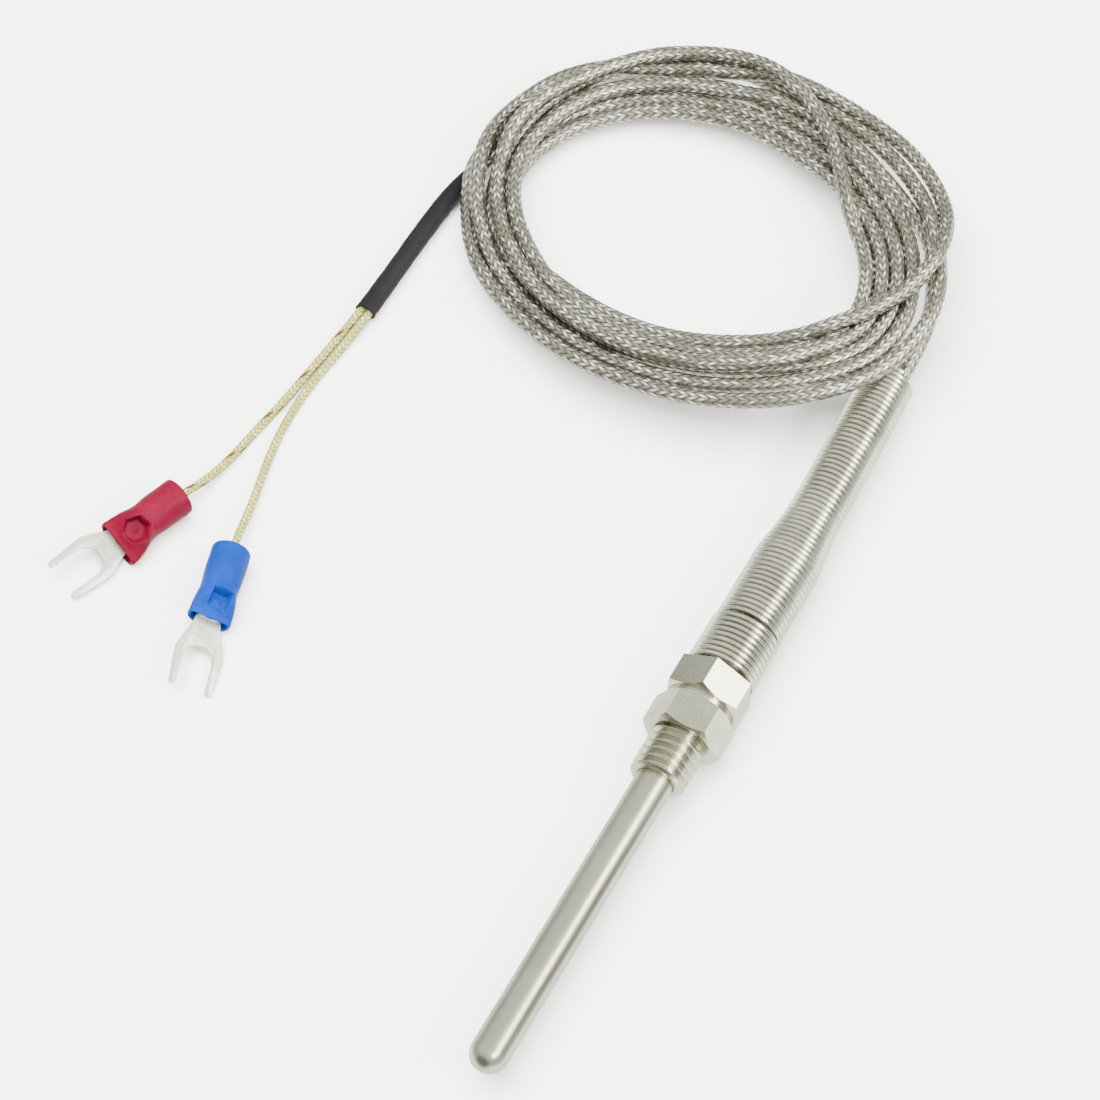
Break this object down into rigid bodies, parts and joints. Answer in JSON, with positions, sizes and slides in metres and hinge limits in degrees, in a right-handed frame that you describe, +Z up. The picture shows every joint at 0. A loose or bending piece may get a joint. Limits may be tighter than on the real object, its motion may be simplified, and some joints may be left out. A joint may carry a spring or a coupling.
{
  "type": "thermocouple",
  "caption": "Bolt-in thermocouple probe with a domed steel sheath, a sliding M8 bolt, a strain-relief spring, a coiled metal-braided cable and two insulated fork terminals",
  "frame": {"origin": "on the probe's axis, in the plane of the bolt's front bearing face", "axes": "+Y runs along the probe's axis from the tip to the spring, +Z is up off the table the object lies on, +X is to the right seen from the tip with +Z up"},
  "size_m": [0.0945, 0.1605, 0.015],
  "materials": {
    "stainless_sheath": "satin",
    "nickel_plated_brass": "satin",
    "stainless_washer": "satin",
    "spring_wire": "polished",
    "steel_braid": "woven",
    "glass_braid": "woven",
    "black_heat_shrink": "matte",
    "red_vinyl": "matte",
    "blue_vinyl": "matte",
    "tinned_copper": "matte",
    "thermocouple_alloy": "satin",
    "insulator_ceramic": "matte",
    "magnesia_powder": "matte",
    "potting_resin": "matte"
  },
  "bodies": {
    "probe": {"probe_sheath": "stainless_sheath", "tip_filler": "magnesia_powder", "junction_bead": "thermocouple_alloy", "wire_positive": "thermocouple_alloy", "wire_negative": "thermocouple_alloy", "sheath_seal": "potting_resin", "insulator_front": "insulator_ceramic", "insulator_middle": "insulator_ceramic", "insulator_rear": "insulator_ceramic", "hex_collar": "nickel_plated_brass", "splice_positive": "tinned_copper", "splice_negative": "tinned_copper", "core_positive": "glass_braid", "core_negative": "glass_braid", "braid_ferrule": "tinned_copper", "cable_in_spring": "steel_braid", "strain_relief_spring": "spring_wire", "cable_exit_run": "steel_braid", "cable_coil": "steel_braid", "cable_tail": "steel_braid", "heat_shrink": "black_heat_shrink", "lead_tracer": "glass_braid", "lead_plain": "glass_braid", "conductor_red": "thermocouple_alloy", "conductor_blue": "thermocouple_alloy", "fork_red": "tinned_copper", "fork_blue": "tinned_copper", "sleeve_red": "red_vinyl", "sleeve_blue": "blue_vinyl"},
    "washer": {"spacer_washer": "stainless_washer"},
    "bolt": {"mounting_bolt": "nickel_plated_brass"}
  },
  "joints": [
    {"name": "washer_slide", "type": "slide", "parent": "probe", "child": "washer", "axis": [0, -1, 0], "range_m": [0, 0.045]},
    {"name": "bolt_turn", "type": "hinge", "parent": "washer", "child": "bolt", "pos_m": [0, 0, 0], "axis": [0, 1, 0], "continuous": true}
  ]
}
